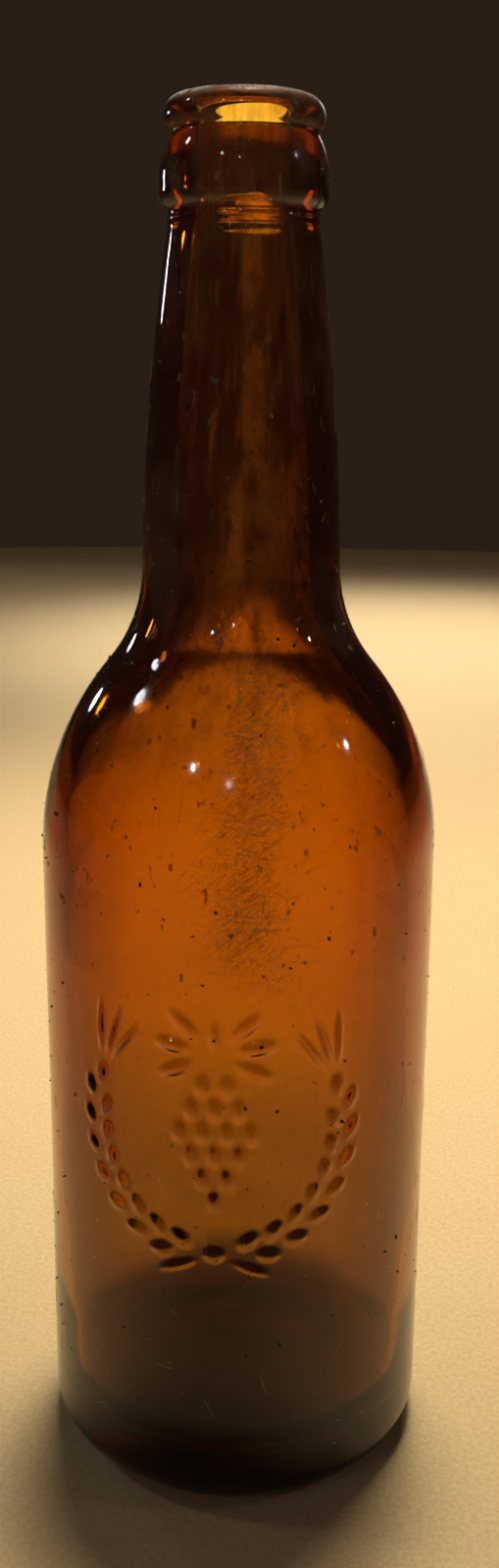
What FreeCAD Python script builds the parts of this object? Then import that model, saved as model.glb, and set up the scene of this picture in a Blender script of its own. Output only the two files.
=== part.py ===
import FreeCAD, Part
import math
import os

import Sketcher

# A pressed and blown amber beer bottle for a crown cap, one piece of glass.
# The bottle's axis is Z, it stands on Z = 0 and the moulded ornament faces -Y.
# The outside is turned as a solid blank, the raised ornament is fused to it,
# and the cavity is cut out last, as the blown air leaves it.

SIZES = {
    # outside, from the surface it stands on upwards
    "overall_height": 244.6,
    "body_diameter": 71.7,
    "heel_radius": 8.5,
    "ring_width": 3.35,  # the flat ring that it stands on, from the heel inwards
    "kick_up": 3.5,
    "shoulder_height": 118.6,
    "shoulder_radius": 51.0,
    "throat_radius": 26.5,
    "neck_low_height": 166.6,
    "neck_low_diameter": 34.8,
    "neck_top_diameter": 25.5,
    "neck_bow_radius": 470.0,
    # finish, measured down from the mouth
    "lip_diameter": 26.6,
    "lip_flat_diameter": 22.6,
    "lip_drop": 2.8,
    "lip_edge_radius": 3.1,
    "crease_diameter": 24.3,
    "crease_drop": 5.5,
    "collar_diameter": 28.2,
    "collar_drop": 14.2,
    "collar_bow_radius": 15.0,
    "collar_foot_drop": 17.3,
    "collar_foot_radius": 2.6,
    "bead_drop": 19.2,
    "bead_width": 1.0,
    "bead_radius": 0.6,
    # inside
    "wall": 3.8,
    "floor_thickness": 4.5,
    "floor_corner_radius": 9.0,
    "neck_wall": 4.2,
    "bore_diameter": 16.0,
    "bore_depth": 17.3,
    "mouth_radius": 1.4,
    # raised ornament, on the wall
    "ornament_height": 76.6,
    "relief": 0.85,
    "relief_root": 1.0,
    "wreath_radius": 23.0,
    "wreath_start": 16.0,
    "grain_pairs": 7,
    "grain_pitch": 5.2,
    "grain_length": 4.9,
    "grain_width": 2.7,
    "grain_tilt": 25.0,
    "grain_row": 1.9,
    "awn_length": 11.0,
    "awn_width": 1.1,
    "stalk_length": 8.0,
    "stalk_width": 1.5,
    "stalk_gap": 3.1,
    "knot_length": 4.4,
    "knot_width": 3.1,
    "scale_length": 5.2,
    "scale_width": 3.1,
    "scale_pitch": 4.1,
    "scale_row": 4.35,
    "scale_fan": 5.0,
    "leaf_length": 8.0,
    "leaf_width": 3.0,
    "leaf_gap": 3.4,
    "stem_length": 5.6,
    "stem_width": 1.8,
}
SCALES_PER_ROW = (2, 3, 4, 3, 2, 1)  # the hop cone, from its stem down
LEAF_ANGLES = (46, 80, 114)  # the three lobes of each hop leaf, from straight up
AWN_SPREAD = (-18, 0, 18)  # the three bristles that end each ear of barley
STALK_ANGLE = 112  # each ear's cut stalk below the knot, from straight up

doc = FreeCAD.newDocument("BeerBottle")
sheet = doc.addObject("Spreadsheet::Sheet", "Sizes")
for row, (alias, number) in enumerate(SIZES.items(), start=1):
    sheet.set(f"A{row}", alias)
    sheet.set(f"B{row}", str(number))
    sheet.setAlias(f"B{row}", alias)
doc.recompute()


def worth(expression):
    """The number that an expression on the sheet's sizes gives."""
    return float(sheet.evalExpression(expression))


class Outline:
    """An outline in a body's XZ plane, drawn edge after edge and closed at the end.

    Every corner's radius and height, and every arc's radius, is an expression on the sheet.
    """

    def __init__(self, body, name):
        self.sketch = body.newObject("Sketcher::SketchObject", name)
        planes = body.Origin.OriginFeatures
        plane = next(p for p in planes if p.Role == "XZ_Plane")
        self.sketch.AttachmentSupport = [(plane, "")]
        self.sketch.MapMode = "FlatFace"
        self.open_end = None
        self.first_end = None

    def bind(self, kind, references, expression):
        """Adds a dimension and ties it to the sheet."""
        constraint = Sketcher.Constraint(kind, *references, worth(expression))
        index = self.sketch.addConstraint(constraint)
        self.sketch.setExpression(f"Constraints[{index}]", expression)

    def join(self, edge, start, end, tangent):
        """Fixes a new edge to the open end of the outline."""
        if self.open_end is None:
            self.first_end = (edge, start)
        else:
            kind = "Tangent" if tangent else "Coincident"
            self.sketch.addConstraint(Sketcher.Constraint(kind, *self.open_end, edge, start))
        self.open_end = (edge, end)

    def pin(self, radius, height):
        """Gives the open end its radius and height."""
        if radius == "0":
            self.sketch.addConstraint(Sketcher.Constraint("PointOnObject", *self.open_end, -2))
        else:
            self.bind("DistanceX", (-1, 1, *self.open_end), radius)
        self.bind("DistanceY", (-1, 1, *self.open_end), height)

    def line(self, start, end):
        """Adds a straight edge between two points of numbers."""
        ends = [FreeCAD.Vector(*point, 0) for point in (start, end)]
        edge = self.sketch.addGeometry(Part.LineSegment(*ends))
        self.join(edge, 1, 2, tangent=False)

    def arc(self, centre, start, end, radius, tangent=False):
        """Adds the short arc about centre from start to end, and ties its radius."""
        angles = [math.atan2(p[1] - centre[1], p[0] - centre[0]) for p in (start, end)]
        onward = (angles[1] - angles[0]) % (2 * math.pi) < math.pi
        low, high = angles if onward else reversed(angles)
        middle = FreeCAD.Vector(*centre, 0)
        circle = Part.Circle(middle, FreeCAD.Vector(0, 0, 1), math.dist(centre, start))
        edge = self.sketch.addGeometry(Part.ArcOfCircle(circle, low, high))
        self.join(edge, *((1, 2) if onward else (2, 1)), tangent)
        self.bind("Radius", (edge,), radius)

    def path(self, corners):
        """Runs through corners of (radius, height), or of (radius, height, arc radius).

        An arc radius is that of the edge that ends at the corner. With the axis to the left of
        the way on, the arc bulges outwards, or is hollow where a minus sign comes first.
        """
        start = tuple(worth(size) for size in corners[0][:2])
        for number, (radius, height, *bend) in enumerate(corners[1:]):
            end = (worth(radius), worth(height))
            if bend:
                size = bend[0].lstrip("-")
                side = -1 if bend[0].startswith("-") else 1
                self.arc(arc_centre(start, end, side * worth(size)), start, end, size)
            else:
                self.line(start, end)
            if number == 0 and self.first_end == (self.open_end[0], 3 - self.open_end[1]):
                self.pin_first(*corners[0][:2])
            self.pin(radius, height)
            start = end

    def pin_first(self, radius, height):
        """Gives the outline's very first point its radius and height."""
        last = self.open_end
        self.open_end = self.first_end
        self.pin(radius, height)
        self.open_end = last

    def close(self):
        """Closes the outline along the bottle's axis."""
        start, end = (self.sketch.getPoint(*point) for point in (self.open_end, self.first_end))
        self.line((start.x, start.y), (end.x, end.y))
        self.sketch.addConstraint(Sketcher.Constraint("Coincident", *self.open_end, *self.first_end))


def arc_centre(start, end, radius):
    """The centre of an arc through two points, to the left of the way on if radius is positive."""
    chord = math.dist(start, end)
    rise = math.sqrt(radius * radius - chord * chord / 4)
    across = ((start[1] - end[1]) / chord, (end[0] - start[0]) / chord)
    side = math.copysign(rise, radius)
    return tuple((a + b) / 2 + side * n for a, b, n in zip(start, end, across))


def between(centre, other, distance):
    """The point at a distance from centre on its way to the other point."""
    share = distance / math.dist(centre, other)
    return tuple(a + (b - a) * share for a, b in zip(centre, other))


def shoulder(outline, wall_radius, shoulder_radius, throat_radius, neck_radius, low, high):
    """Carries the wall over the shoulder, into the throat and up the neck, all tangent.

    The throat's arc touches the shoulder's and the neck's arc from outside. The neck's arc
    goes through a low and a high point, each a pair of expressions.
    """
    convex, concave, bow = (worth(size) for size in (shoulder_radius, throat_radius, neck_radius))
    wall_end = (worth(wall_radius), worth("Sizes.shoulder_height"))
    hub = (wall_end[0] - convex, wall_end[1])
    neck_low, neck_high = (tuple(worth(size) for size in point) for point in (low, high))
    neck_hub = arc_centre(neck_low, neck_high, bow)
    # the throat's centre is where a circle about each of the other two centres crosses
    throat_hub = arc_crossing(hub, convex + concave, neck_hub, bow + concave)
    shoulder_end = between(hub, throat_hub, convex)
    throat_end = between(neck_hub, throat_hub, bow)
    outline.arc(hub, wall_end, shoulder_end, shoulder_radius, tangent=True)
    outline.arc(throat_hub, shoulder_end, throat_end, throat_radius, tangent=True)
    outline.arc(neck_hub, throat_end, neck_high, neck_radius, tangent=True)
    outline.pin(*high)
    mark = outline.sketch.addGeometry(Part.Point(FreeCAD.Vector(*neck_low, 0)), True)
    outline.sketch.addConstraint(Sketcher.Constraint("PointOnObject", mark, 1, outline.open_end[0]))
    outline.bind("DistanceX", (-1, 1, mark, 1), low[0])
    outline.bind("DistanceY", (-1, 1, mark, 1), low[1])


def arc_crossing(first, first_radius, second, second_radius):
    """Where two circles cross, on the side away from the bottle's axis."""
    span = math.dist(first, second)
    along = (first_radius**2 - second_radius**2 + span**2) / (2 * span)
    off = math.sqrt(first_radius**2 - along**2)
    way = ((second[0] - first[0]) / span, (second[1] - first[1]) / span)
    crossings = [
        (first[0] + way[0] * along - way[1] * side, first[1] + way[1] * along + way[0] * side)
        for side in (off, -off)
    ]
    return max(crossings)


def turned(name, draw):
    """A body turned about Z from the outline that draw makes."""
    body = doc.addObject("PartDesign::Body", name)
    outline = Outline(body, name + "_outline")
    draw(outline)
    turn = body.newObject("PartDesign::Revolution", name + "_turn")
    turn.Profile = outline.sketch
    turn.ReferenceAxis = (outline.sketch, ["V_Axis"])
    turn.Angle = 360
    return body


def from_mouth(drop):
    """The height of a place that is measured down from the mouth."""
    return f"Sizes.overall_height - Sizes.{drop}"


def draw_outside(outline):
    """Kick-up, resting ring, heel, wall, shoulder, neck, bead, collar and lip."""
    body_radius = "Sizes.body_diameter / 2"
    heel_foot = body_radius + " - Sizes.heel_radius"
    kick_up_edge = heel_foot + " - Sizes.ring_width"
    kick_up_arc = f"(({kick_up_edge})^2 + Sizes.kick_up^2) / (2 * Sizes.kick_up)"
    neck_top = from_mouth("bead_drop") + " - Sizes.bead_width / 2"
    outline.path(
        [
            ("0", "Sizes.kick_up"),
            (kick_up_edge, "0", "-" + kick_up_arc),
            (heel_foot, "0"),
            (body_radius, "Sizes.heel_radius", "Sizes.heel_radius"),
            (body_radius, "Sizes.shoulder_height"),
        ]
    )
    shoulder(
        outline,
        body_radius,
        "Sizes.shoulder_radius",
        "Sizes.throat_radius",
        "Sizes.neck_bow_radius",
        ("Sizes.neck_low_diameter / 2", "Sizes.neck_low_height"),
        ("Sizes.neck_top_diameter / 2", neck_top),
    )
    outline.path(
        [
            ("Sizes.neck_top_diameter / 2", neck_top),
            ("Sizes.neck_top_diameter / 2", neck_top + " + Sizes.bead_width", "Sizes.bead_radius"),
            ("Sizes.neck_top_diameter / 2", from_mouth("collar_foot_drop")),
            ("Sizes.collar_diameter / 2", from_mouth("collar_drop"), "Sizes.collar_foot_radius"),
            ("Sizes.crease_diameter / 2", from_mouth("crease_drop"), "Sizes.collar_bow_radius"),
            ("Sizes.lip_diameter / 2", from_mouth("lip_drop"), "Sizes.lip_edge_radius"),
            ("Sizes.lip_flat_diameter / 2", "Sizes.overall_height", "Sizes.lip_edge_radius"),
            ("0", "Sizes.overall_height"),
        ]
    )
    outline.close()


def draw_cavity(outline):
    """Floor, wall, shoulder and neck of the inside, and the bore out past the mouth."""
    inner_radius = "Sizes.body_diameter / 2 - Sizes.wall"
    floor = "Sizes.kick_up + Sizes.floor_thickness"
    corner = "Sizes.floor_corner_radius"
    bore = "Sizes.bore_diameter / 2"
    outline.path(
        [
            ("0", floor),
            (f"{inner_radius} - {corner}", floor),
            (inner_radius, f"{floor} + {corner}", corner),
            (inner_radius, "Sizes.shoulder_height"),
        ]
    )
    shoulder(
        outline,
        inner_radius,
        "Sizes.shoulder_radius - Sizes.wall",
        "Sizes.throat_radius + Sizes.wall",
        "Sizes.neck_bow_radius - Sizes.wall",
        ("Sizes.neck_low_diameter / 2 - Sizes.neck_wall", "Sizes.neck_low_height"),
        (bore, from_mouth("bore_depth")),
    )
    outline.path(
        [
            (bore, from_mouth("bore_depth")),
            (bore, from_mouth("mouth_radius")),
            (bore + " + Sizes.mouth_radius", "Sizes.overall_height", "-Sizes.mouth_radius"),
            (bore + " + Sizes.mouth_radius", "Sizes.overall_height + Sizes.mouth_radius"),
            ("0", "Sizes.overall_height + Sizes.mouth_radius"),
        ]
    )
    outline.close()


ornament = []


def raised(name, sideways, up, tilt, length, width):
    """A rounded bead that stands out of the wall by the relief.

    sideways runs round the wall and up runs from the ornament's middle, both in mm. tilt turns
    the bead's length from straight up towards +X. length and width are expressions.
    """
    bead = doc.addObject("Part::Ellipsoid", name)
    bead.setExpression("Radius1", f"{length} / 2")
    bead.setExpression("Radius2", f"{width} / 2")
    bead.setExpression("Radius3", "Sizes.relief + Sizes.relief_root")
    out = "(Sizes.body_diameter / 2 - Sizes.relief_root)"
    turn = f"({sideways} / (Sizes.body_diameter / 2) * 180 / pi)"
    place = f"{out} * sin({turn}); -{out} * cos({turn}); Sizes.ornament_height + {up}"
    facing = f"create(<<rotation>>; {turn}; {tilt}; 0)"
    bead.setExpression("Placement", f"create(<<placement>>; create(<<vector>>; {place}); {facing})")
    ornament.append(bead)


def polar(radius, angle, sideways="0", up="0"):
    """A place at a radius from (sideways, up), at an angle from straight up towards +X."""
    return f"({sideways} + {radius} * sin({angle}))", f"({up} + {radius} * cos({angle}))"


def ear_of_barley(side):
    """One half of the wreath: two rows of grains up a stalk that curves away to one side."""
    step = "(Sizes.grain_pitch / Sizes.wreath_radius * 180 / pi)"
    hand = "right" if side > 0 else "left"

    def on_wreath(pitches):
        """The angle from straight up, and the way on, this many pitches up the stalk."""
        back = f"(Sizes.wreath_start + {pitches} * {step})"
        return f"({side} * (180 - {back}))", f"({side} * (90 - {back}))"

    pairs = int(SIZES["grain_pairs"])
    for pair in range(pairs):
        for row in (-1, 1):
            pitches = pair + 0.25 + 0.25 * row
            angle, way = on_wreath(pitches)
            place = polar(f"(Sizes.wreath_radius + {row} * Sizes.grain_row)", angle)
            tilt = f"({way} + {side * row} * Sizes.grain_tilt)"
            name = f"{hand}_grain_{pair + 1}_{'outer' if row > 0 else 'inner'}"
            raised(name, *place, tilt, "Sizes.grain_length", "Sizes.grain_width")
    angle, way = on_wreath(pairs + 0.15)
    tip = polar("Sizes.wreath_radius", angle)
    raised(f"{hand}_grain_tip", *tip, way, "Sizes.grain_length", "Sizes.grain_width")
    reach = "(Sizes.grain_length / 2 + Sizes.awn_width + Sizes.awn_length / 2)"
    for number, spread in enumerate(AWN_SPREAD, start=1):
        tilt = f"({way} + {spread})"
        middle = polar(reach, tilt, *tip)
        raised(f"{hand}_awn_{number}", *middle, tilt, "Sizes.awn_length", "Sizes.awn_width")
    tilt = str(side * STALK_ANGLE)
    middle = polar("(Sizes.stalk_gap + Sizes.stalk_length / 2)", tilt, up="(-Sizes.wreath_radius)")
    raised(f"{hand}_stalk", *middle, tilt, "Sizes.stalk_length", "Sizes.stalk_width")


def hop_cone():
    """Staggered rows of scales, a stem and two leaves of three lobes."""
    rows = len(SCALES_PER_ROW)
    for row, count in enumerate(SCALES_PER_ROW):
        up = f"({rows / 2 - 1 - row} * Sizes.scale_row)"
        for number in range(count):
            sideways = f"({number - (count - 1) / 2} * Sizes.scale_pitch)"
            tilt = f"({(count - 1) / 2 - number} * Sizes.scale_fan)"
            name = f"scale_{row + 1}_{number + 1}"
            raised(name, sideways, up, tilt, "Sizes.scale_length", "Sizes.scale_width")
    crown = f"({rows / 2} * Sizes.scale_row + Sizes.leaf_width / 2)"
    for side, hand in ((-1, "left"), (1, "right")):
        for number, angle in enumerate(LEAF_ANGLES, start=1):
            tilt = f"({side * angle})"
            place = polar("(Sizes.leaf_gap + Sizes.leaf_length / 2)", tilt, up=crown)
            raised(f"{hand}_lobe_{number}", *place, tilt, "Sizes.leaf_length", "Sizes.leaf_width")
    stem = f"({crown} + Sizes.leaf_gap)"
    raised("stem", "0", stem, "0", "Sizes.stem_length", "Sizes.stem_width")


blank = turned("blank", draw_outside)
cavity = turned("cavity", draw_cavity)
for wreath_side in (-1, 1):
    ear_of_barley(wreath_side)
hop_cone()
raised("knot", "0", "(-Sizes.wreath_radius)", "90", "Sizes.knot_length", "Sizes.knot_width")

pressed = doc.addObject("Part::MultiFuse", "pressed")
pressed.Shapes = [blank, *ornament]

bottle = doc.addObject("Part::Cut", "bottle")
bottle.Base = pressed
bottle.Tool = cavity
bottle.Label = "bottle_glass"
bottle.Placement = FreeCAD.Placement()
doc.recompute()

for part in doc.Objects:
    if {"Invalid", "Error"} & set(part.State):
        raise RuntimeError(f"{part.Label} failed: {part.State}")
for sketch in (blank.Group[0], cavity.Group[0]):
    if sketch.solve() != 0 or not sketch.FullyConstrained:
        raise RuntimeError(f"{sketch.Label} isn't fully set by its dimensions")
for part in (blank, cavity, pressed, bottle):
    if part.Shape.isNull() or not part.Shape.isValid():
        raise RuntimeError(f"{part.Label} has no sound shape")
if len(bottle.Shape.Solids) != 1:
    raise RuntimeError("the bottle isn't one solid")

os.makedirs("parts", exist_ok=True)
bottle.Shape.exportStep(f"parts/{bottle.Label}.step")
print(f"{bottle.Label}: {bottle.Shape.Volume / 1000:.1f} cm3, {len(bottle.Shape.Faces)} faces")
print(f"filled to the brim: {cavity.Shape.Volume / 1000:.0f} cm3")
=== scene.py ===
import bpy
import numpy as np
from mathutils import Matrix, Vector


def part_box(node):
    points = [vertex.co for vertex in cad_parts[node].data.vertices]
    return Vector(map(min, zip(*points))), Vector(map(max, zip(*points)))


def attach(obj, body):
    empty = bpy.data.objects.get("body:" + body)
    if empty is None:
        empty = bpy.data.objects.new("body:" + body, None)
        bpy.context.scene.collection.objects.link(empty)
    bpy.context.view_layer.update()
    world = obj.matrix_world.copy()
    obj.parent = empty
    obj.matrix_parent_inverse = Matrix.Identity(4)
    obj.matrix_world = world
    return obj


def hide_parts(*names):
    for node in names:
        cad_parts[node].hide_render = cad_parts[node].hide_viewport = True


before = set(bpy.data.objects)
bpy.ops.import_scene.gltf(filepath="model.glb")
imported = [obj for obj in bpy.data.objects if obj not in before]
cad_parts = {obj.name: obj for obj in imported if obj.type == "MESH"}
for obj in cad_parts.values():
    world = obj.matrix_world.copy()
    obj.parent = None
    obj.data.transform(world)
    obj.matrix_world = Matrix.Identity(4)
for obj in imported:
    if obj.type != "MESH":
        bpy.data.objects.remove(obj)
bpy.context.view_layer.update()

# The glass: one piece of amber glass, blown in a mould that gives its outside and the raised
# ornament on the front. Its inside is where the air left it, so the wall is nowhere quite even.
# Its outline goes from under the base to the lip and down the inside, and is turned round.
mm = 0.001
body_radius, _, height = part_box("bottle_glass")[1]
wall = 3.8 * mm
heel_radius = 8.5 * mm
ring_width = 3.35 * mm
kick_up = 3.5 * mm
floor_height = 8.0 * mm
floor_corner = 9.0 * mm
shoulder_height = 118.6 * mm
shoulder_radius = 51.0 * mm
throat_radius = 26.5 * mm
neck_low = np.array([17.4, 166.6]) * mm
neck_bow = 470.0 * mm
neck_top = np.array([12.75 * mm, height - 19.7 * mm])
neck_wall = 4.2 * mm
bore_radius = 8.0 * mm
bore_foot = height - 17.3 * mm
mouth_radius = 1.4 * mm
polish = 0.28 * mm


def straight(start, end):
    """Points every 0.05 mm along the line from start to end, without start."""
    count = max(2, int(np.hypot(*np.subtract(end, start)) / (0.05 * mm)))
    share = np.linspace(0, 1, count)[1:, None]
    return np.asarray(start) + (np.subtract(end, start)) * share


def arc(centre, start, end):
    """Points every 0.05 mm on the short arc about centre from start to end, without start."""
    a, b = (np.arctan2(*np.subtract(p, centre)[::-1]) for p in (start, end))
    turn = (b - a + np.pi) % (2 * np.pi) - np.pi
    radius = np.hypot(*np.subtract(start, centre))
    angle = a + turn * np.linspace(0, 1, max(3, int(abs(turn) * radius / (0.05 * mm))))[1:]
    return np.asarray(centre) + radius * np.stack([np.cos(angle), np.sin(angle)], axis=1)


def middle(start, end, radius):
    """The centre of an arc through two points: to the left of the way on for a positive radius."""
    start, end = np.asarray(start), np.asarray(end)
    chord = end - start
    length = np.hypot(*chord)
    left = np.array([-chord[1], chord[0]]) / length
    rise = np.sqrt(radius * radius - length * length / 4)
    return (start + end) / 2 + np.copysign(rise, radius) * left


def bend(start, end, radius):
    """An arc from start to end of a radius, which is negative where it is hollow."""
    return arc(middle(start, end, radius), start, end)


def shoulder(wall_radius, round_radius, hollow_radius, low, high, bow):
    """The wall's end, over the shoulder and up the neck: three arcs, each tangent to the next.

    The hollow arc's centre is where circles about the other two centres cross, their radii
    the sums of the two arcs that touch.
    """
    first = np.array([wall_radius - round_radius, shoulder_height])
    last = middle(low, high, bow)
    span = last - first
    length = np.hypot(*span)
    near, far = round_radius + hollow_radius, bow + hollow_radius
    along = (near**2 - far**2 + length**2) / (2 * length)
    off = np.sqrt(near**2 - along**2)
    way = span / length
    hollow = first + way * along + np.array([way[1], -way[0]]) * off
    leave = first + (hollow - first) * round_radius / near
    meet = last + (hollow - last) * bow / far
    wall_end = (wall_radius, shoulder_height)
    return np.concatenate([arc(first, wall_end, leave), arc(hollow, leave, meet), arc(last, meet, high)])


def outside_outline():
    """Radius and height along the outside, from under the base to the lip's flat top."""
    heel = body_radius - heel_radius
    edge = heel - ring_width
    dome = (edge**2 + kick_up**2) / (2 * kick_up)
    parts = [np.array([[0.02 * mm, kick_up]])]
    parts.append(bend((0.02 * mm, kick_up), (edge, 0), -dome))
    parts.append(straight((edge, 0), (heel, 0)))
    parts.append(arc((heel, heel_radius), (heel, 0), (body_radius, heel_radius)))
    parts.append(straight((body_radius, heel_radius), (body_radius, shoulder_height)))
    parts.append(shoulder(body_radius, shoulder_radius, throat_radius, neck_low, neck_top, neck_bow))
    corners = [  # drop from the mouth, radius and the arc that leads there: 0 is straight
        (18.7, 12.75, 0.6),
        (17.3, 12.75, 0),
        (14.2, 14.1, 2.6),
        (5.5, 12.15, 15.0),
        (2.8, 13.3, 3.1),
        (0.0, 11.3, 3.1),
        (0.0, 9.4, 0),
    ]
    here = neck_top
    for drop, radius, turn in corners:
        there = np.array([radius * mm, height - drop * mm])
        parts.append(bend(here, there, turn * mm) if turn else straight(here, there))
        here = there
    return np.concatenate(parts)


def inside_outline():
    """Radius and height along the inside, from the lip's edge down to the middle of the floor."""
    inner = body_radius - wall
    up = shoulder(
        inner,
        shoulder_radius - wall,
        throat_radius + wall,
        neck_low - np.array([neck_wall, 0]),
        np.array([bore_radius, bore_foot]),
        neck_bow - wall,
    )
    flare = (bore_radius, height - mouth_radius)
    centre = (bore_radius + mouth_radius, height - mouth_radius)
    corner = (inner - floor_corner, floor_height)
    corner_middle = (inner - floor_corner, floor_height + floor_corner)
    corner_end = (inner, floor_height + floor_corner)
    return np.concatenate(
        [
            arc(centre, (bore_radius + mouth_radius, height), flare),
            straight(flare, (bore_radius, bore_foot)),
            up[::-1],
            straight((inner, shoulder_height), corner_end),
            arc(corner_middle, corner_end, corner),
            straight(corner, (0.02 * mm, floor_height)),
        ]
    )


def fire_polish(outline, width):
    """Rounds every corner: each point becomes the Gaussian mean of its neighbours."""
    step = 0.05 * mm
    length = np.concatenate([[0], np.cumsum(np.hypot(*np.diff(outline, axis=0).T))])
    even = np.arange(0, length[-1], step)
    points = np.stack([np.interp(even, length, column) for column in outline.T], axis=1)
    reach = int(4 * width / step)
    kernel = np.exp(-0.5 * (np.arange(-reach, reach + 1) * step / width) ** 2)
    kernel /= kernel.sum()
    # past each pole the outline goes on as its own mirror image
    before, after = points[reach:0:-1] * (-1, 1), points[-2 : -reach - 2 : -1] * (-1, 1)
    padded = np.concatenate([before, points, after])
    return np.stack([np.convolve(column, kernel, "valid") for column in padded.T], axis=1)


outside = outside_outline()
outline = fire_polish(np.concatenate([outside, inside_outline()]), polish)
run = np.concatenate([[0], np.cumsum(np.hypot(*np.diff(outline, axis=0).T))])
outside_share = np.hypot(*np.diff(outside, axis=0).T).sum() / run[-1]
is_outside = run < outside_share * run[-1]

# Rows lie close together where the outline or the ornament needs it.
ornament_height = 76.6 * mm
low_ornament, high_ornament = ornament_height - 28.5 * mm, ornament_height + 24 * mm
spacing = np.select(
    [
        is_outside & (outline[:, 1] < 10 * mm),
        is_outside & (outline[:, 1] > low_ornament) & (outline[:, 1] < high_ornament),
        is_outside & (outline[:, 1] > height - 22 * mm),
        is_outside & (outline[:, 1] > high_ornament) & (outline[:, 1] < shoulder_height + 10 * mm),
        is_outside,
        outline[:, 1] > height - 3 * mm,
    ],
    [1.3 * mm, 0.47 * mm, 0.45 * mm, 0.9 * mm, 1.5 * mm, 0.4 * mm],
    default=2.4 * mm,
)
spacing[~is_outside & (outline[:, 1] > 150 * mm) & (outline[:, 1] < height - 3 * mm)] = 1.1 * mm
count = np.concatenate([[0], np.cumsum(np.diff(run) / spacing[1:])])
rows = np.interp(np.arange(int(count[-1]) + 1), count, run)
radius, level = (np.interp(rows, run, column) for column in outline.T)
outer_row = rows < outside_share * run[-1]
slope = np.stack([np.gradient(radius, rows), np.gradient(level, rows)], axis=1)
slope /= np.hypot(*slope.T)[:, None]
normal_out, normal_up = slope[:, 1], -slope[:, 0]

# Columns are angles from the front towards +X, close together across the ornament.
front = np.radians(43)
fine = np.linspace(-front, front, 132)
coarse = np.linspace(front, 2 * np.pi - front, 64)[1:-1]
angle = np.concatenate([fine, coarse])


def drift(seed, turns, waves, reach):
    """A slow random wave over the wall, about 1 at its most.

    The sum of products of a cosine round the axis, of 0 to turns periods, and a cosine up the
    axis, of up to waves periods in the bottle's height, each with a random phase and weight.
    """
    rng = np.random.default_rng(seed)
    total = np.zeros((len(level), len(angle)))
    for period in range(turns + 1):
        for _ in range(2):
            weight = rng.normal() / (1 + period * 0.35)
            phase, lift = rng.uniform(0, 2 * np.pi, 2)
            climb = rng.uniform(0, waves) * 2 * np.pi / height
            total += weight * np.cos(period * angle + phase) * np.cos(climb * level + lift)[:, None]
    return reach * total / np.abs(total).max()


def barley_and_hop():
    """The ornament's beads: place round the wall and up it, turn, length and width, in mm.

    A wreath of two ears of barley, open at the top, round a hanging hop cone with two leaves.
    """

    def polar(reach, turn, sideways=0.0, up=0.0):
        return sideways + reach * np.sin(np.radians(turn)), up + reach * np.cos(np.radians(turn))

    beads = []
    wreath, pitch, grain = 23.0, 5.2, 4.9
    step = np.degrees(pitch / wreath)
    for side in (-1, 1):
        for pair in range(7):
            for row in (-1, 1):
                back = 16 + (pair + 0.25 + 0.25 * row) * step
                place = polar(wreath + row * 1.9, side * (180 - back))
                beads.append((*place, side * (90 - back + row * 25), grain, 2.7))
        back = 16 + 7.15 * step
        tip, way = polar(wreath, side * (180 - back)), side * (90 - back)
        beads.append((*tip, way, grain, 2.7))
        for spread in (-18, 0, 18):
            place = polar(grain / 2 + 1.1 + 5.5, way + spread, *tip)
            beads.append((*place, way + spread, 11.0, 1.1))
        beads.append((*polar(7.1, side * 112, up=-wreath), side * 112, 8.0, 1.5))
    beads.append((0, -wreath, 90, 4.4, 3.1))
    for row, scales in enumerate((2, 3, 4, 3, 2, 1)):
        for number in range(scales):
            place = number - (scales - 1) / 2
            beads.append((place * 4.1, (2 - row) * 4.35, -place * 5, 5.2, 3.1))
    crown = 3 * 4.35 + 1.5
    for turn in (-114, -80, -46, 46, 80, 114):
        beads.append((*polar(7.4, turn, up=crown), turn, 8.0, 3.0))
    beads.append((0, crown + 3.4, 0, 5.6, 1.8))
    return np.array(beads)


def relief(sideways, up):
    """How far the ornament stands out, in mm: the highest of its beads at each place.

    Each bead is a rounded heap on an ellipse: its height falls with the 1.5th power of one
    less the squared distance from its middle, in half lengths and half widths.
    """
    stands = np.zeros_like(sideways)
    for across, along, turn, length, width in barley_and_hop():
        s, c = np.sin(np.radians(turn)), np.cos(np.radians(turn))
        right, ahead = sideways - across, up - along
        inside = ((right * s + ahead * c) / (length / 2)) ** 2
        inside += ((right * c - ahead * s) / (width / 2 + 0.1)) ** 2
        stands = np.maximum(stands, 0.85 * np.clip(1 - inside, 0, None) ** 1.5)
    return stands


from_ends = np.minimum(level - 12 * mm, height - 22 * mm - level)
middle_of_wall = np.clip(from_ends / (20 * mm), 0, 1)[:, None]
uneven = drift(3, 4, 5, 0.22 * mm) + drift(5, 9, 3, 0.07 * mm)
uneven_inside = drift(8, 5, 7, 0.45 * mm) + drift(13, 24, 2.0, 0.12 * mm)
# the wall is thinner low down than from the shoulder up
uneven_inside += 1.3 * mm * (np.clip((90 * mm - level) / (70 * mm), -0.4, 1))[:, None]
stand_out = np.where(outer_row[:, None], uneven, -uneven_inside) * middle_of_wall
turned_angle = np.where(angle > np.pi, angle - 2 * np.pi, angle)
sideways, up = np.meshgrid(turned_angle * body_radius / mm, (level - ornament_height) / mm)
stand_out += np.where(outer_row[:, None], relief(sideways, up), 0) * mm

grid_radius = radius[:, None] + normal_out[:, None] * stand_out
grid_level = level[:, None] + normal_up[:, None] * stand_out


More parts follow.
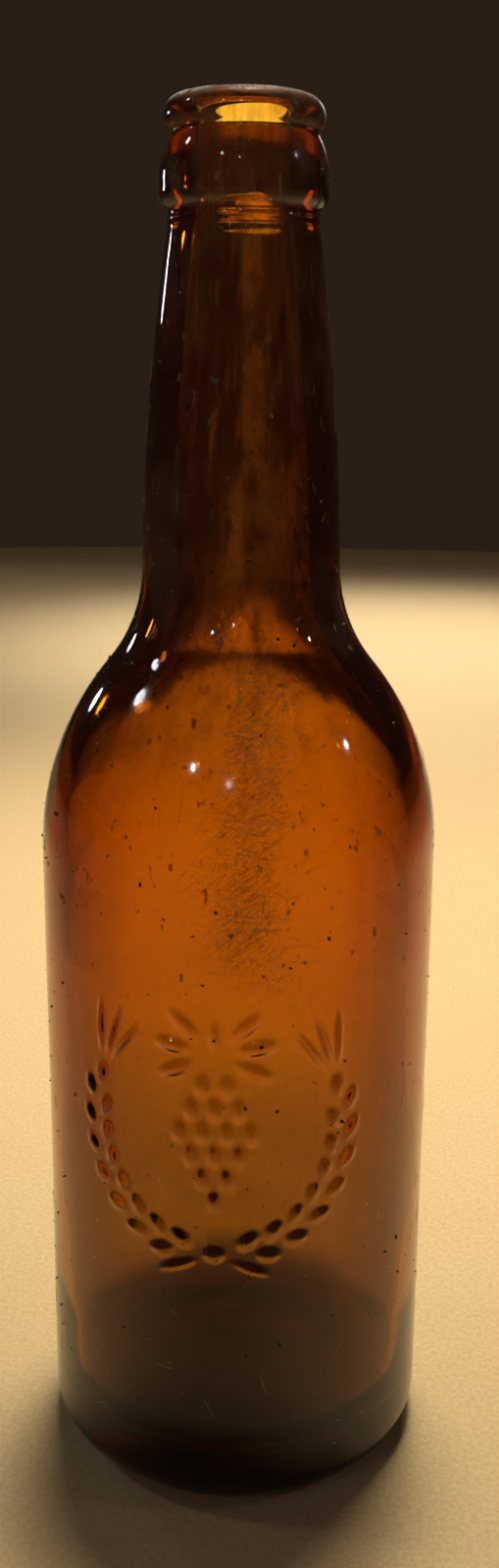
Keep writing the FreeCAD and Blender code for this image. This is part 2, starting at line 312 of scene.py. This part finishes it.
def grid_mesh(name, points, closed_ends):
    """A mesh from a grid of rows by columns that goes round, with a point added at each end."""
    row_count, column_count = points.shape[:2]
    corner = np.arange(row_count * column_count).reshape(row_count, column_count)
    following = np.roll(corner, -1, axis=1)
    quads = np.stack([corner[:-1], following[:-1], following[1:], corner[1:]], axis=-1).reshape(-1, 4)
    first, last = corner.size, corner.size + 1
    fan = np.stack([np.full(column_count, first), following[0], corner[0]], axis=-1)
    end_fan = np.stack([corner[-1], following[-1], np.full(column_count, last)], axis=-1)
    mesh = bpy.data.meshes.new(name)
    places = np.concatenate([points.reshape(-1, 3), closed_ends])
    mesh.from_pydata(places.tolist(), [], quads.tolist() + fan.tolist() + end_fan.tolist())
    mesh.polygons.foreach_set("use_smooth", np.ones(len(mesh.polygons), dtype=bool))
    mesh.update()
    return mesh


points = np.stack(
    [
        grid_radius * np.sin(angle),
        -grid_radius * np.cos(angle),
        grid_level,
    ],
    axis=-1,
)
poles = np.array([[0, 0, kick_up], [0, 0, floor_height]])
glass = bpy.data.objects.new("amber_bottle", grid_mesh("amber_bottle", points, poles))
bpy.context.collection.objects.link(glass)


def node(tree, kind, settings=None, **inputs):
    """Adds a shader node and gives its inputs values or links, with _ for a space in a name."""
    made = tree.nodes.new("ShaderNode" + kind)
    for name, value in (settings or {}).items():
        setattr(made, name, value)
    for name, value in inputs.items():
        key = int(name[1:]) if name[1:].isdigit() else name.replace("_", " ")
        socket = made.inputs[key]
        if isinstance(value, bpy.types.NodeSocket):
            tree.links.new(value, socket)
        else:
            socket.default_value = value
    return made


def new_material(name):
    """An empty material, its tree and its output node."""
    made = bpy.data.materials.new(name)
    made.use_nodes = True
    made.node_tree.nodes.clear()
    return made, made.node_tree, node(made.node_tree, "OutputMaterial")


def mixed(tree, share, first, second):
    """The first colour where share is 0 and the second where it is 1."""
    return node(tree, "Mix", {"data_type": "RGBA"}, Factor=share, _6=first, _7=second).outputs[2]


def ramp(tree, value, low, high, start=0.0, end=1.0):
    """A value carried smoothly from the range low-high to start-end, and held past its ends."""
    kind = {"interpolation_type": "SMOOTHSTEP"}
    return node(
        tree, "MapRange", kind, Value=value, From_Min=low, From_Max=high, To_Min=start, To_Max=end
    ).outputs["Result"]


def give(piece, name, values):
    """Stores a number for each of a piece's points, for its material to read."""
    layer = piece.data.attributes.new(name, "FLOAT", "POINT")
    layer.data.foreach_set("value", np.asarray(values, dtype=np.float32).ravel())


def read(tree, name):
    """The number that the piece stores under a name."""
    return node(tree, "Attribute", {"attribute_name": name}).outputs["Fac"]


def smooth(value, low, high):
    """0 below low and 1 above high; between them 3 times the share squared less twice its cube."""
    share = np.clip((value - low) / (high - low), 0, 1)
    return share * share * (3 - 2 * share)


def blotches(seed, turns, waves, count=60):
    """Uneven patches from 0 to 1: a sum of waves round the axis and up it, at random.

    Each wave's weight falls with its own fineness, so that large patches have ragged edges.
    """
    rng = np.random.default_rng(seed)
    total = np.zeros((len(level), len(angle)))
    for _ in range(count):
        share = rng.random() ** 1.5
        period = rng.integers(1, int(2 + turns * share))
        climb = rng.normal() * waves * (0.15 + share) * 2 * np.pi
        phase = rng.uniform(0, 2 * np.pi)
        total += np.cos(period * angle + climb * level[:, None] / height + phase) / (0.6 + 2 * share)
    return 0.5 + 0.5 * total / (2.2 * total.std())


amber, tree, output = new_material("amber_glass")
# How rough the surface is: fine drag lines up the wall, wear round the shoulder and the heel,
# stains on the neck and a ground edge to the lip.
drag = smooth(blotches(31, 110, 3), 0.35, 1.0) * 0.045
worn = smooth(blotches(32, 40, 30), 0.4, 0.9) * 0.05
rings = smooth(level, 126 * mm, 136 * mm) * (1 - smooth(level, 150 * mm, 160 * mm))
rings += 1 - smooth(level, 3 * mm, 12 * mm)
lip_top = smooth(level, height - 1.6 * mm, height - 0.5 * mm)
neck_haze = smooth(level, 155 * mm, 175 * mm)[:, None] * smooth(blotches(33, 60, 18), 0.45, 0.95)
haze = 0.012 + drag + worn * rings[:, None] + 0.32 * lip_top[:, None] + 0.10 * neck_haze
haze = np.where(outer_row[:, None], haze, 0.012 + drag)
give(glass, "haze", np.append(haze, [0.05, 0.02]))
# Painted shade: the glass's colour is darker at its sides as seen from the camera, low on
# the body and at the shoulder, and stands in for the darkening that thicker glass gives.
across = np.abs(np.sin(angle - 0.12))
painted_shade = 1 - 0.27 * smooth(across, 0.60, 0.97) * np.where(np.sin(angle) > 0, 1.15, 0.85)
low_down, shoulder_up = 1 - smooth(level, 68 * mm, 112 * mm), smooth(level, 122 * mm, 140 * mm)
painted_shade = painted_shade - (0.16 * low_down + 0.04 * shoulder_up)[:, None]
give(glass, "painted_shade", np.append(painted_shade, [0.9, 0.9]))
skin = node(
    tree,
    "BsdfPrincipled",
    # the painted shade darkens the glass's colour
    Base_Color=mixed(tree, read(tree, "painted_shade"), (0, 0, 0, 1), (1, 1, 1, 1)),
    Roughness=read(tree, "haze"),
    IOR=1.52,
    Transmission_Weight=1.0,
)
tint = node(tree, "VolumeAbsorption", Color=(0.9815, 0.9445, 0.81, 1), Density=4000.0)
tree.links.new(skin.outputs["BSDF"], output.inputs["Surface"])
tree.links.new(tint.outputs["Volume"], output.inputs["Volume"])
glass.data.materials.append(amber)
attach(glass, "root")
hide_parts("bottle_glass")

# The film: what the last drink and the years left dried on the inside of the neck, in streaks
# and blots, and a painted highlight: a paler, thicker patch where light comes through. It is a
# thin closed skin that hangs just inside the glass.
clear, thick = 0.06 * mm, 0.05 * mm


def lining(rows, inset):
    """The glass's surface along some rows, moved off it by an inset along its normals."""
    off = stand_out[rows] + inset
    out = radius[rows, None] + normal_out[rows, None] * off
    return np.stack(
        [out * np.sin(angle), -out * np.cos(angle), level[rows, None] + normal_up[rows, None] * off], -1
    )


def closed_mesh(name, points):
    """A mesh from a grid that goes round both ways, with its faces turned outwards."""
    row_count, column_count = points.shape[:2]
    corner = np.arange(row_count * column_count).reshape(row_count, column_count)
    onward = np.roll(corner, -1, axis=0)
    quads = np.stack([corner, np.roll(corner, -1, axis=1), np.roll(onward, -1, axis=1), onward], axis=-1)
    mesh = bpy.data.meshes.new(name)
    mesh.from_pydata(points.reshape(-1, 3).tolist(), [], quads.reshape(-1, 4).tolist())
    mesh.polygons.foreach_set("use_smooth", np.ones(len(mesh.polygons), dtype=bool))
    mesh.update()
    return mesh


def see_through(tree, output, colour, cover, passes):
    """Matter that hides a share of what is behind it and lets some light through to its far side: dirt,
    and on some skins painted light and shade.
    """
    skin = node(tree, "BsdfPrincipled", Base_Color=colour, Roughness=0.9, Specular_IOR_Level=0.1)
    glow = node(tree, "BsdfTranslucent", Color=colour).outputs[0]
    dirt = node(tree, "MixShader", _0=passes, _1=skin.outputs["BSDF"], _2=glow).outputs[0]
    open_glass = node(tree, "BsdfTransparent").outputs[0]
    whole = node(tree, "MixShader", _0=cover, _1=open_glass, _2=dirt).outputs[0]
    tree.links.new(whole, output.inputs["Surface"])


def skin_on_glass(name, rows, masks, poles=None):
    """A closed skin along some rows: one sheet just off the glass and one a little further off.

    The sheets meet at their edges, or at two poles. A mask is a name, its values over the whole
    glass and its value at the poles.
    """
    sheets = np.concatenate([lining(rows, clear)[::-1], lining(rows, clear + thick)])
    mesh = closed_mesh(name, sheets) if poles is None else grid_mesh(name, sheets, poles)
    piece = bpy.data.objects.new(name, mesh)
    bpy.context.collection.objects.link(piece)
    for mask, values, at_poles in masks:
        both = np.concatenate([values[rows][::-1], values[rows]])
        give(piece, mask, both if poles is None else np.append(both, [at_poles, at_poles]))
    return piece


def cover_noise(tree, vector, fineness, detail, low, high, stretch=(1, 1, 1), rough=0.5, ends=(0, 1)):
    """Noise on a stretched vector, with its range low-high carried to the ends.

    It feeds a Mix Shader, which a group may not, so each material has its own.
    """
    placed = node(tree, "Mapping", Vector=vector, Scale=stretch).outputs[0]
    noise = node(tree, "TexNoise", Vector=placed, Scale=fineness, Detail=detail, Roughness=rough)
    return ramp(tree, noise.outputs["Fac"], low, high, *ends)


def times(tree, first, second, added=0.0):
    """The product of two values, with a third added."""
    kind = {"operation": "MULTIPLY_ADD"}
    return node(tree, "Math", kind, _0=first, _1=second, _2=added).outputs[0]


film_rows = np.flatnonzero(~outer_row & (level > 126 * mm) & (level < height - 2 * mm))
streaks, blots = smooth(blotches(41, 90, 5), 0.35, 0.9), smooth(blotches(42, 22, 10), 0.35, 0.85)
# a painted highlight: a paler, thicker patch of film where the light comes through, a little
# right of the front, high on the neck
across_patch = smooth(turned_angle, 0.02, 0.14) * (1 - smooth(turned_angle, 0.36, 0.50))
up_patch = smooth(level, 180 * mm, 192 * mm) * (1 - smooth(level, 222 * mm, 232 * mm))
painted_light_patch = across_patch * up_patch[:, None]
stains_and_light_patch = 0.18 + 0.20 * streaks + 0.42 * blots + 0.34 * painted_light_patch
stains_and_light_patch *= smooth(level, 127 * mm, 168 * mm)[:, None]
stain_and_light_tone = np.maximum(smooth(blotches(43, 60, 12), 0.4, 0.8), painted_light_patch)
film = skin_on_glass("neck_film", film_rows, [("cover", stains_and_light_patch, 0), ("stain_and_light_tone", stain_and_light_tone, 0)])
residue_and_light_patch, tree, output = new_material("dried_residue_and_painted_highlight")
# the pale colour is paler stain, and on the patch it is the painted highlight
colour = mixed(tree, read(tree, "stain_and_light_tone"), (0.26, 0.16, 0.09, 1), (1.0, 0.86, 0.62, 1))
place = node(tree, "TexCoord").outputs["Object"]
mottled = cover_noise(tree, place, 260, 5, 0.36, 0.66, (1, 1, 0.5), 0.65, (0.15, 1.35))
cover = times(tree, read(tree, "cover"), mottled)
see_through(tree, output, colour, cover, 0.6)
film.data.materials.append(residue_and_light_patch)
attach(film, "root")
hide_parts("bottle_glass")

# The dregs: a dark crust on the floor inside, which thins to a haze up the wall with a ragged
# edge; it is partly dried dregs and partly painted shade, darkening the base and the lower body.
# It is a thin closed skin like the film, and closes at the middle of the floor.
dregs_and_shade_rows = np.flatnonzero(~outer_row & (level < 116 * mm))
ragged = blotches(51, 16, 24)
rise = level[:, None] + 9 * mm * (ragged - 0.5)
crust_and_shade_cover = 0.84 * (1 - smooth(rise, 3 * mm, 28 * mm))
haze_and_shade_cover = 0.22 * (1 - smooth(level, 25 * mm, 100 * mm))[:, None] * (0.6 + 0.6 * ragged)
crust_and_shade_share = 1 - smooth(rise, 10 * mm, 34 * mm)
masks = [("cover", np.maximum(crust_and_shade_cover, haze_and_shade_cover), 0.8), ("crust_and_shade", crust_and_shade_share, 1.0)]
middle_of_floor = [[0, 0, floor_height + clear], [0, 0, floor_height + clear + thick]]
dregs_and_shade = skin_on_glass("dregs_and_shade", dregs_and_shade_rows, masks, middle_of_floor)
scum_and_shade, tree, output = new_material("dried_dregs_and_painted_shade")
# from a brown haze to a near-black crust: dried dregs and painted shade alike
colour = mixed(tree, read(tree, "crust_and_shade"), (0.15, 0.05, 0.008, 1), (0.026, 0.01, 0.004, 1))
see_through(tree, output, colour, read(tree, "cover"), 0.2)
dregs_and_shade.data.materials.append(scum_and_shade)
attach(dregs_and_shade, "root")
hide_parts("bottle_glass")

# The grime: a thin skin of dust and ground-in dirt on the outside from the shoulder up, with a
# scuffed stripe up the front, streaks on the neck and a painted highlight along the lip's top:
# a pale, chalky band, brightest on the left.
grime_and_highlight_rows = np.flatnonzero(outer_row & (level > 101 * mm))
grime_and_highlight_rows = grime_and_highlight_rows[: np.argmax(level[grime_and_highlight_rows]) + 1]
lean = 0.15 + (level - 135 * mm)[:, None] * 1.2 + 0.06 * (blotches(61, 3, 14) - 0.5)
stripe = np.exp(-(((turned_angle - lean) / 0.15) ** 2)) * smooth(level, 102 * mm, 112 * mm)[:, None]
stripe *= 1 - smooth(level, 148 * mm, 160 * mm)[:, None]
upper = smooth(level, 146 * mm, 170 * mm)[:, None]
dust_and_highlight = upper * (0.05 + 0.16 * smooth(blotches(62, 40, 30), 0.4, 0.95))
dust_and_highlight *= 0.3 + 0.7 * np.clip(np.cos(angle - 0.1), 0, 1)
collar = smooth(level, height - 22 * mm, height - 18 * mm)[:, None]
dust_and_highlight += 0.25 * collar * smooth(blotches(63, 70, 60), 0.5, 0.9)
# painted highlight: a pale band round the top of the lip, brightest on the left
painted_lip_highlight = smooth(level, height - 1.7 * mm, height - 0.4 * mm)[:, None] * (0.65 - 0.35 * np.sin(angle))
dust_and_highlight += painted_lip_highlight * (0.5 + 0.5 * smooth(blotches(64, 40, 90), 0.3, 0.7))
grime_and_highlight = skin_on_glass("grime_and_highlight", grime_and_highlight_rows, [("stripe", stripe, 0), ("dust_and_highlight", dust_and_highlight, 0)])
dirt, tree, output = new_material("grime_and_highlight")
place = node(tree, "TexCoord").outputs["Object"]
leaning = node(tree, "Mapping", Vector=place, Rotation=(0, 0.7, 0)).outputs[0]
flat = node(tree, "Mapping", Vector=place, Rotation=(0, -0.12, 0)).outputs[0]
mottle = cover_noise(tree, leaning, 1.0, 4, 0.42, 0.72, (700, 1200, 1900), 0.7, (0.15, 0.8))
nicks = cover_noise(tree, leaning, 1.0, 2, 0.58, 0.64, (120, 400, 3200))
lines = cover_noise(tree, flat, 1.0, 2, 0.60, 0.66, (90, 400, 3000))
speckle = cover_noise(tree, place, 2600, 3, 0.35, 0.7, rough=0.7, ends=(0.3, 1))
spots = cover_noise(tree, place, 520, 2, 0.68, 0.74, (1, 1, 0.6))
highest = {"operation": "MAXIMUM"}
scratched = node(tree, "Math", highest, _0=nicks, _1=lines).outputs[0]
worked = node(tree, "Math", highest, _0=scratched, _1=mottle).outputs[0]
speckled_dust_and_highlight = times(tree, speckle, read(tree, "dust_and_highlight"))
cover = times(tree, times(tree, worked, read(tree, "stripe")), 0.40, speckled_dust_and_highlight)
cover = times(tree, spots, 0.4, cover)
brown_or_pale = mixed(tree, scratched, (0.05, 0.024, 0.009, 1), (0.80, 0.50, 0.24, 1))
colour = mixed(tree, ramp(tree, read(tree, "dust_and_highlight"), 0.0, 0.06), brown_or_pale, (0.50, 0.35, 0.22, 1))
# the palest parts turn near white: the painted highlight on the lip
colour = mixed(tree, ramp(tree, read(tree, "dust_and_highlight"), 0.4, 0.8), colour, (0.95, 0.93, 0.90, 1))
see_through(tree, output, colour, cover, 0.3)
grime_and_highlight.data.materials.append(dirt)
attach(grime_and_highlight, "root")
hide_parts("bottle_glass")

# The wear: pits and ground-in specks, thickest in a scuffed stripe up the front, and fine
# scratches. Specks are small eight-sided stones and scratches thin rods, sunk in the wall.
rng = np.random.default_rng(20)
climbing = np.arange(np.argmin(level), np.flatnonzero(outer_row)[-1])


def on_wall(turn, up, lift):
    """Places on the outside at an angle and a height, lifted off it, read from the glass's grid."""
    row = np.interp(up, level[climbing], climbing)
    below, share = row.astype(int), row % 1
    from_edge = (turn + front) % (2 * np.pi) - front
    column = np.interp(from_edge, angle, np.arange(len(angle))).astype(int)
    out = grid_radius[below, column] * (1 - share) + grid_radius[below + 1, column] * share
    return np.stack([(out + lift) * np.sin(turn), -(out + lift) * np.cos(turn), up], axis=-1)


def stones(turn, up, size, lift):
    """Eight-sided stones: six corners at random lengths along three turned axes."""
    count = len(turn)
    axes = np.linalg.qr(rng.normal(size=(count, 3, 3)))[0]
    reach = size[:, None] * rng.uniform((0.35, 0.25, 0.15), (0.9, 0.6, 0.4), (count, 3))
    arms = axes * reach[:, :, None]
    corners = on_wall(turn, up, size * lift)[:, None] + np.concatenate([arms, -arms], axis=1)
    faces = [(0, 1, 2), (1, 3, 2), (3, 4, 2), (4, 0, 2), (1, 0, 5), (3, 1, 5), (4, 3, 5), (0, 4, 5)]
    triangles = np.array(faces)[None] + 6 * np.arange(count)[:, None, None]
    mirrored = np.linalg.det(axes) < 0
    triangles[mirrored] = triangles[mirrored][:, :, ::-1]
    return corners.reshape(-1, 3), triangles.reshape(-1, 3)


def rods(turn, up, length, heading, curl, thickness, lift=0.0):
    """Curved rods of four sides: a line on the wall whose heading turns evenly along it.

    Its ends taper, and stand further off the wall than its middle by the lift.
    """
    count, steps = len(turn), 9
    along = np.linspace(-0.5, 0.5, steps)
    way = heading[:, None] + curl[:, None] * along
    stride = length[:, None] / (steps - 1)
    sideways = np.cumsum(np.cos(way) * stride, axis=1)
    turn = turn[:, None] + sideways / body_radius
    up = np.clip(up[:, None] + np.cumsum(np.sin(way) * stride, axis=1), 8 * mm, height - 5 * mm)
    path = on_wall(turn, up, np.reshape(lift, (-1, 1)) * (0.2 + (2 * along) ** 2))
    ahead = np.gradient(path, axis=1)
    ahead /= np.sqrt((ahead**2).sum(-1, keepdims=True))
    out = np.stack([np.sin(turn), -np.cos(turn), np.zeros_like(turn)], axis=-1)
    side = np.cross(ahead, out)
    side /= np.sqrt((side**2).sum(-1, keepdims=True))
    out = np.cross(side, ahead)
    quarter = np.arange(4)[:, None] * np.pi / 2
    ring = out[:, :, None] * np.cos(quarter) + side[:, :, None] * np.sin(quarter)
    taper = thickness * (1.05 - (2 * np.abs(along)) ** 4)[None, :, None, None]
    corners = path[:, :, None] + taper * ring
    corner = np.arange(count * steps * 4).reshape(count, steps, 4)
    following = np.roll(corner, -1, axis=2)
    sides = np.stack([corner[:, :-1], following[:, :-1], following[:, 1:], corner[:, 1:]], axis=-1)
    caps = np.stack([corner[:, 0, ::-1], corner[:, -1]], axis=1)
    return corners.reshape(-1, 3), np.concatenate([sides.reshape(-1, 4), caps.reshape(-1, 4)])


# An uneven colour for rough matter, and the nap that goes with it: one group for every material
# that has it. Noise is carried from the range low-high to a share from 0 to 1.
unevenness = bpy.data.node_groups.new("unevenness", "ShaderNodeTree")
for name in ("Vector", "Fineness", "Detail", "Rough", "Low", "High"):
    kind = "NodeSocketVector" if name == "Vector" else "NodeSocketFloat"
    unevenness.interface.new_socket(name, in_out="INPUT", socket_type=kind)
for name in ("Share", "Noise"):
    unevenness.interface.new_socket(name, in_out="OUTPUT", socket_type="NodeSocketFloat")
given = unevenness.nodes.new("NodeGroupInput").outputs
noise = node(
    unevenness,
    "TexNoise",
    Vector=given["Vector"],
    Scale=given["Fineness"],
    Detail=given["Detail"],
    Roughness=given["Rough"],
).outputs["Fac"]
result = unevenness.nodes.new("NodeGroupOutput").inputs
unevenness.links.new(ramp(unevenness, noise, given["Low"], given["High"]), result["Share"])
unevenness.links.new(noise, result["Noise"])


def uneven_matter(tree, vector, **values):
    """Places the group of unevenness in a material with its own values, and gives its outputs."""
    return node(tree, "Group", {"node_tree": unevenness}, Vector=vector, **values).outputs


def scatter(name, groups, colours, passes):
    """One piece from groups of corners and faces, in rough matter that varies between colours.

    It lets a share of the light through to its far side.
    """
    corners, faces, first = [], [], 0
    for group_corners, group_faces in groups:
        corners.append(group_corners)
        faces += (group_faces + first).tolist()
        first += len(group_corners)
    mesh = bpy.data.meshes.new(name)
    mesh.from_pydata(np.concatenate(corners).tolist(), [], faces)
    mesh.update()
    made = bpy.data.objects.new(name, mesh)
    bpy.context.collection.objects.link(made)
    matter, tree, output = new_material(name)
    place = node(tree, "TexCoord").outputs["Object"]
    varied = uneven_matter(tree, place, Fineness=900, Detail=2, Rough=0.5, Low=0.35, High=0.65)
    colour = mixed(tree, varied["Share"], *colours)
    see_through(tree, output, colour, 0.9, passes)
    made.data.materials.append(matter)
    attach(made, "root")
    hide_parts("bottle_glass")


def in_stripe(count, spread=1.0):
    """Angles and heights in the scuffed stripe, in ragged clumps: normal draws round each."""
    clumps = 70
    clump_turn = rng.normal(0.16, 0.10 * spread, clumps)
    clump_up = rng.uniform(103 * mm, 154 * mm, clumps)
    clump = rng.integers(0, clumps, count)
    turn = clump_turn[clump] + rng.normal(0, 0.045 * spread, count)
    return turn, clump_up[clump] + rng.normal(0, 2.2 * mm, count)


def anywhere(count, low, high):
    """Angles all round and heights from low to high, at random."""
    return rng.uniform(-np.pi, np.pi, count), rng.uniform(low, high, count)


count = 2600
turn, up = in_stripe(count)
specks = stones(turn, up, rng.uniform(0.06, 0.22, count) * mm, 0.0)
count = 1500
turn, up = anywhere(count, 20 * mm, 205 * mm)
pits = stones(turn, up, (0.16 + 0.75 * rng.random(count) ** 6) * mm, 0.0)
scatter("specks", [specks, pits], ((0.02, 0.010, 0.005, 1), (0.10, 0.05, 0.02, 1)), 0.1)
count = 150
turn, up = in_stripe(count, 1.6)
heading = rng.choice([0.62, -0.1, 1.35], count) + rng.normal(0, 0.2, count)
length, curl = rng.uniform(1, 7, count) * mm, rng.normal(0, 0.2, count)
scratches = rods(turn, up, length, heading, curl, 0.035 * mm)
count = 260
turn, up = anywhere(count, 12 * mm, 236 * mm)
heading = np.where(rng.random(count) < 0.6, np.pi / 2, rng.uniform(0, np.pi, count))
heading = heading + rng.normal(0, 0.15, count)
length, curl = rng.uniform(0.8, 6, count) * mm, rng.normal(0, 0.3, count)
marks = rods(turn, up, length, heading, curl, 0.024 * mm)
scatter("scratches", [scratches, marks], ((0.55, 0.33, 0.14, 1), (0.95, 0.75, 0.50, 1)), 0.6)

# The lint: pale dust and short fibres off the cloth that the bottle stands on. They cling to
# the outside, and the fibres' ends stand a little off it.
count = 520
turn, up = anywhere(count, 6 * mm, 240 * mm)
dust_grains = stones(turn, up, (0.17 + 0.35 * rng.random(count) ** 5) * mm, 0.3)
count, fibre = 46, 0.045 * mm
turn, up = anywhere(count, 15 * mm, 225 * mm)
length, curl = rng.uniform(1.0, 4.0, count) * mm, rng.uniform(-1.6, 1.6, count)
heading = rng.uniform(0, np.pi, count)
fibres = rods(turn, up, length, heading, curl, fibre, fibre + 0.2 * mm * rng.random(count))
scatter("lint", [dust_grains, fibres], ((0.60, 0.50, 0.40, 1), (0.98, 0.95, 0.90, 1)), 0.5)

# The floor: a plain pale round of felt, with nothing round it but the dark. Its nap is a fine
# bump, and its colour varies with it.
floor_radius = 1.7
around = np.linspace(0, 2 * np.pi, 97)[:-1]
rim = floor_radius * np.stack([np.cos(around), np.sin(around), 0 * around], axis=-1)
floor_mesh = bpy.data.meshes.new("floor")
floor_mesh.from_pydata(rim.tolist(), [], [list(range(len(rim)))])
floor = bpy.data.objects.new("floor", floor_mesh)
bpy.context.collection.objects.link(floor)
felt, tree, output = new_material("felt")
place = node(tree, "TexCoord").outputs["Object"]
nap = uneven_matter(tree, place, Fineness=900, Detail=3, Rough=0.7, Low=0.3, High=0.7)
colour = mixed(tree, nap["Share"], (0.69, 0.485, 0.235, 1), (0.79, 0.585, 0.32, 1))
fluff = node(tree, "Bump", Strength=0.5, Distance=0.0006, Height=nap["Noise"]).outputs[0]
cloth = node(
    tree,
    "BsdfPrincipled",
    Base_Color=colour,
    Roughness=0.95,
    Specular_IOR_Level=0.1,
    Normal=fluff,
)
tree.links.new(cloth.outputs["BSDF"], output.inputs["Surface"])
floor.data.materials.append(felt)

# The light: three shaded lamps high over the floor behind the bottle, whose pool of light ends
# just in front of it, and weak ones round the room that show as bright spots in the glass.
world = bpy.data.worlds.new("world")
bpy.context.scene.world = world
world.use_nodes = True
world.node_tree.nodes["Background"].inputs["Color"].default_value = (0.022, 0.0135, 0.008, 1)


def hang(name, light, place, target):
    """Hangs a lamp at a place, facing the target and unseen by the camera."""
    made = bpy.data.objects.new(name, light)
    made.location = place
    made.rotation_euler = (Vector(place) - Vector(target)).to_track_quat("Z", "Y").to_euler()
    made.visible_camera = False
    bpy.context.collection.objects.link(made)


def shaded_lamp(name, place, target, power, cone, radius, colour):
    """A round lamp in a shade that lets its light out in a cone, in degrees."""
    light = bpy.data.lights.new(name, "SPOT")
    light.energy, light.color = power, colour
    light.spot_size, light.spot_blend = np.radians(cone), 1.0
    light.shadow_soft_size = radius
    hang(name, light, place, target)


def room_lamp(name, bearing, lift, size, power, colour):
    """A round lamp 1.3 m from the bottle, at a bearing from +Y towards +X and a lift over it."""
    light = bpy.data.lights.new(name, "AREA")
    light.shape, light.size = "DISK", size
    light.energy, light.color = power, colour
    turn, tilt = np.radians(bearing), np.radians(lift)
    way = Vector((np.sin(turn) * np.cos(tilt), np.cos(turn) * np.cos(tilt), np.sin(tilt)))
    target = Vector((0, 0, 0.12))
    hang(name, light, target + 1.3 * way, target)


near_white, lamp_white = (1.0, 0.91, 0.74), (1.0, 0.98, 0.93)
shaded_lamp("over_right", (0.10, 0.27, 1.4), (0.08, 0.27, 0), 45, 38, 0.10, near_white)
shaded_lamp("over_left", (-0.03, 0.27, 1.4), (-0.02, 0.27, 0), 45, 38, 0.10, near_white)
shaded_lamp("over_far", (0.03, 0.93, 1.4), (0.05, 0.93, 0), 86, 37, 0.10, lamp_white)
room_white = (0.90, 0.94, 1.0)
room_lamp("left", -88, 38, 0.13, 0.7, room_white)
room_lamp("back_left", -50, 13, 0.11, 0.5, room_white)
room_lamp("front_left", -155, 32, 0.06, 0.40, room_white)
room_lamp("front", 180, 28, 0.04, 0.15, room_white)
room_lamp("right", 95, 29, 0.06, 0.40, room_white)
room_lamp("back", 8, 55, 0.45, 2.4, lamp_white)
room_lamp("back_low", -1, 27, 0.60, 2.0, lamp_white)

# The camera: a little right of the front, just below the height of the collar. It looks down at
# the bottle, turned and rolled slightly, with the whole bottle in view.
camera = bpy.data.objects.new("camera", bpy.data.cameras.new("camera"))
camera.data.lens = 34.54
camera.data.sensor_width = 36
turn = Matrix.Rotation(np.radians(5.77), 3, "Z")
tip = Matrix.Rotation(np.radians(90 - 14.70), 3, "X")
roll = Matrix.Rotation(np.radians(0.53), 3, "Z")
camera.rotation_euler = (turn @ tip @ roll).to_euler()
camera.location = (0.0286, -0.265, 0.1985)
camera.data.clip_start, camera.data.clip_end = 0.01, 20
bpy.context.collection.objects.link(camera)
bpy.context.scene.camera = camera
bpy.context.scene.view_settings.view_transform = "Standard"
